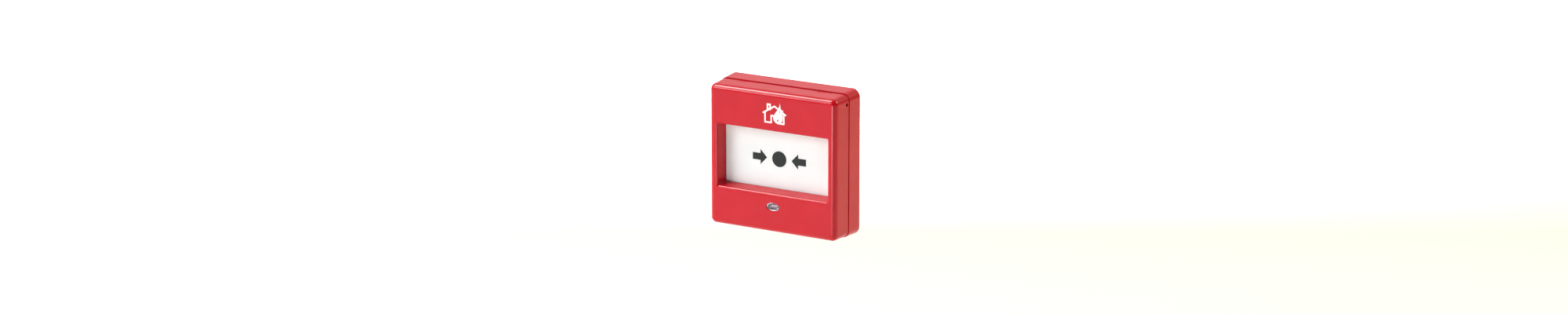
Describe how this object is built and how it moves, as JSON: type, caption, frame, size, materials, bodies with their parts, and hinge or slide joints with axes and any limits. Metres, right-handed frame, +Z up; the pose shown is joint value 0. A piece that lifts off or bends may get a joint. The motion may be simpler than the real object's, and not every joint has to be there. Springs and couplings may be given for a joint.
{
  "type": "manual call point",
  "caption": "Wall-mounted manual fire alarm call point: red box with hinged cover, pressable white operating plate, indicator lens and microswitch inside.",
  "frame": {"origin": "centre of the box's back face, which lies on the wall", "axes": "+Y into the wall, so the front looks along -Y; +X to the right seen from the front; +Z up"},
  "size_m": [0.087, 0.0261, 0.087],
  "materials": {
    "red_shell": "moulded, satin gloss",
    "white_plate": "moulded, fine matt",
    "dark_print": "screen print",
    "white_print": "screen print",
    "carrier_plastic": "moulded, matt",
    "spring_steel": "drawn wire and strip",
    "zinc_steel": "zinc plated",
    "clear_lens": "clear, faceted back",
    "led_epoxy": "tinted epoxy",
    "black_plastic": "moulded, matt",
    "plunger_plastic": "moulded",
    "latch_plastic": "moulded",
    "circuit_laminate": "solder resist over laminate",
    "terminal_plastic": "moulded",
    "tinned_brass": "tinned",
    "can_aluminium": "drawn can",
    "black_rubber": "moulded rubber"
  },
  "bodies": {
    "box": {"back_box": "red_shell", "hinge_pins": "zinc_steel", "chassis": "carrier_plastic", "chassis_screws": "zinc_steel", "circuit_board": "circuit_laminate", "board_screws": "zinc_steel", "led_spacer": "black_plastic", "indicator_led": "led_epoxy", "switch_shell": "black_plastic", "switch_terminals": "tinned_brass", "terminal_block": "terminal_plastic", "wire_clamps": "tinned_brass", "terminal_screws": "zinc_steel", "controller_chip": "black_plastic", "chip_resistors": "black_plastic", "capacitors": "can_aluminium", "plate_springs": "spring_steel", "latch_spring": "spring_steel", "cable_grommet": "black_rubber"},
    "cover": {"front_cover": "red_shell", "led_lens": "clear_lens", "house_symbol": "white_print"},
    "plate": {"operating_plate": "white_plate", "plate_symbols": "dark_print", "plate_carrier": "carrier_plastic", "post_clips": "spring_steel"},
    "lever": {"switch_lever": "spring_steel"},
    "plunger": {"switch_plunger": "plunger_plastic"},
    "latch": {"cover_latch": "latch_plastic"}
  },
  "joints": [
    {"name": "cover_hinge", "type": "hinge", "parent": "box", "child": "cover", "pos_m": [0, -0.0136, 0.04054], "axis": [-1, 0, 0], "range_deg": [0, 90]},
    {"name": "plate_press", "type": "slide", "parent": "box", "child": "plate", "axis": [0, 1, 0], "range_m": [0, 0.0025], "stiffness_N_per_m": 500, "springref_m": -0.001, "deforming": ["plate_springs"]},
    {"name": "lever_turn", "type": "hinge", "parent": "box", "child": "lever", "pos_m": [0, -0.0113, -0.009], "axis": [-1, 0, 0], "range_deg": [0, 7.2]},
    {"name": "plunger_slide", "type": "slide", "parent": "box", "child": "plunger", "axis": [0, 1, 0], "range_m": [0, 0.001]},
    {"name": "latch_slide", "type": "slide", "parent": "box", "child": "latch", "axis": [0, 0, 1], "range_m": [0, 0.002], "stiffness_N_per_m": 300, "springref_m": -0.002, "deforming": ["latch_spring"]}
  ],
  "couplings": [
    {"joint": "lever_turn", "follows": "plate_press", "rad_per_m": 50},
    {"joint": "plunger_slide", "follows": "plate_press", "ratio": 0.4}
  ]
}
